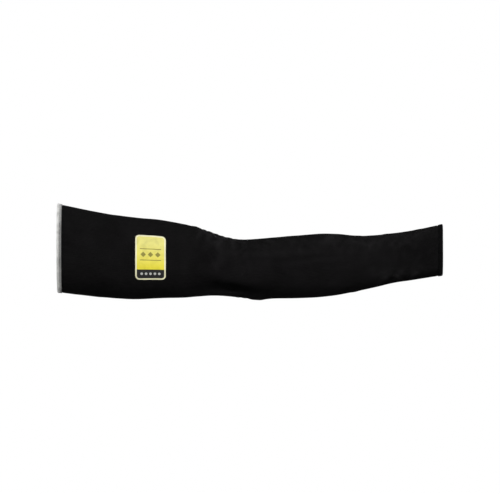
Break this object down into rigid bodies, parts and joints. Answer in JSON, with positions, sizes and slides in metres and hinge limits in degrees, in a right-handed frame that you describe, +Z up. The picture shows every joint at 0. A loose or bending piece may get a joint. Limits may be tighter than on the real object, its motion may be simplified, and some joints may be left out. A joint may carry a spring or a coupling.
{
  "type": "cut resistant sleeve",
  "caption": "Knitted cut resistant arm sleeve in its worn form: a tube bent slightly at the elbow, open at both ends, with overlocked edges and a small pressed label.",
  "frame": {"origin": "centre of the upper arm opening, in the plane of its bound edge, where the sleeve goes onto an arm", "axes": "+X along the sleeve, from the upper arm opening to the wrist opening; -Y the outer side, with the label; +Z up, on the side of the elbow's inner crease"},
  "size_m": [0.457, 0.098, 0.1149],
  "materials": {
    "black_knit": "matt knit",
    "grey_thread": "matt overlock thread",
    "black_thread": "matt overlock thread",
    "label_film": "satin transfer film"
  },
  "bodies": {
    "root": {"knitted_tube": "black_knit", "upper_arm_binding": "grey_thread", "wrist_binding": "black_thread", "pressed_label": "label_film"}
  },
  "joints": []
}
